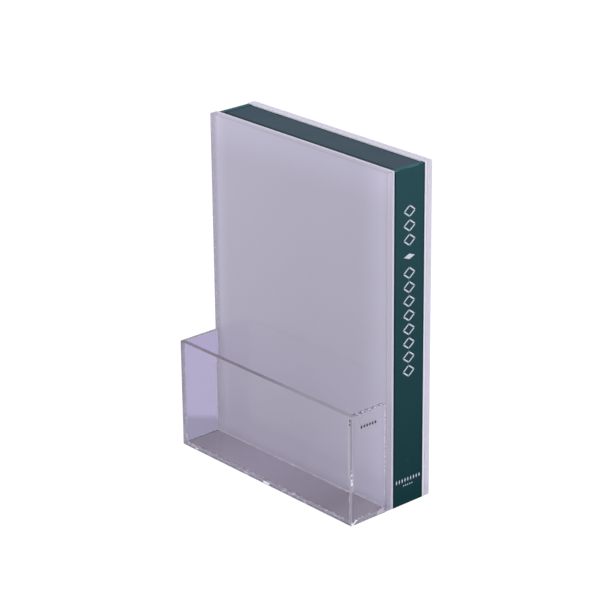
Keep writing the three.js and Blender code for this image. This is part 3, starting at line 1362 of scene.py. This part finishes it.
def dark_arris_marks(shape):
    """Small dark marks on the front wall's arris, and dark dashes just under the right wall's top."""
    inner, outer = (wall_high.x - inset for inset in DARK_MARK_ENDS)
    for foot in ARRIS_DARK_MARKS:
        outline = rectangle(inner, outer, foot, foot + DARK_MARK_HEIGHT)
        add_front_sliver(shape, outline, wall_low.y - 2 * SKIN)
    high = POCKET_TOP - DARK_DASH_BELOW
    for behind, length in TOP_DARK_DASHES:
        start = wall_high.y + behind * MM
        outline = rectangle(start, start + length * MM, high - DARK_DASH_HEIGHT, high)
        add_sliver(shape, [(right_high.x, y, z) for y, z in outline], (1, 0, 0))
    finish_normals(shape)


clear_piece("painted_arris_glints", painted_arris_glints, glint_white)
clear_piece("dark_arris_marks", dark_arris_marks, dark_mark_grey)


# ---------------------------------------------------------------- floor, light and world
def show_white(tree):
    """1 for rays that carry the background to the eye: straight, mirrored or through glass."""
    rays = node(tree, "ShaderNodeLightPath").outputs
    seen = math_node(tree, "MAXIMUM", rays["Is Camera Ray"], rays["Is Glossy Ray"])
    return math_node(tree, "MAXIMUM", seen, rays["Is Transmission Ray"])


FLOOR_SIZE = 12.0
FLOOR_DROP = 0.3 * MM  # from the stand's foot
FLOOR_COLOUR = tint(0.8, 0.8, 0.8)
FLOOR_GLOW = 1.10
FLOOR_GLOW_SHARE = 0.85  # of what the eye sees of the floor, the rest is lit and shadowed


def make_floor():
    bpy.ops.mesh.primitive_plane_add(size=FLOOR_SIZE, location=(0, 0, -FLOOR_DROP))
    floor = bpy.context.object
    floor.name = "floor"
    material = bpy.data.materials.new("pale_floor")
    tree = emptied_tree(material)
    matt = node(tree, "ShaderNodeBsdfDiffuse", Color=FLOOR_COLOUR)
    glow = node(tree, "ShaderNodeEmission", Strength=FLOOR_GLOW)
    share = math_node(tree, "MULTIPLY", show_white(tree), FLOOR_GLOW_SHARE)
    output = tree.nodes.new("ShaderNodeOutputMaterial")
    tree.links.new(mix_shaders(tree, share, matt, glow), output.inputs["Surface"])
    floor.data.materials.append(material)


WORLD_LIGHT = 0.5
WORLD_SEEN = 1.0


def make_world():
    world = bpy.data.worlds.new("studio")
    bpy.context.scene.world = world
    tree = emptied_tree(world)
    white = tint(1.0, 1.0, 1.0)
    lit = node(tree, "ShaderNodeBackground", Color=white, Strength=WORLD_LIGHT)
    seen = node(tree, "ShaderNodeBackground", Color=white, Strength=WORLD_SEEN)
    output = tree.nodes.new("ShaderNodeOutputWorld")
    tree.links.new(mix_shaders(tree, show_white(tree), lit, seen), output.inputs["Surface"])


# The place, size and power of each
SOFTBOXES = {
    "overhead_softbox": ((0.2, -0.2, 2.4), 1.8, 28),
    "left_softbox": ((-1.6, -2.0, 1.5), 1.4, 18),
    "right_softbox": ((2.2, -0.6, 1.4), 1.2, 12),
    "back_softbox": ((0.4, 1.9, 2.2), 1.2, 14),
}
SOFTBOX_AIM = Vector((0, 0, 0.15))
LIGHT_BOUNCES = 32


def make_softbox(name, place, size, power):
    data = bpy.data.lights.new(name, "AREA")
    data.shape = "SQUARE"
    data.size = size
    data.energy = power
    lamp = bpy.data.objects.new(name, data)
    bpy.context.scene.collection.objects.link(lamp)
    lamp.location = place
    aim = SOFTBOX_AIM - Vector(place)
    lamp.rotation_euler = aim.to_track_quat("-Z", "Y").to_euler()


make_floor()
make_world()
for softbox_name, softbox in SOFTBOXES.items():
    make_softbox(softbox_name, *softbox)

scene = bpy.context.scene
scene.view_settings.view_transform = "Standard"
scene.cycles.max_bounces = LIGHT_BOUNCES
scene.cycles.transmission_bounces = LIGHT_BOUNCES
scene.cycles.glossy_bounces = LIGHT_BOUNCES
scene.cycles.transparent_max_bounces = LIGHT_BOUNCES
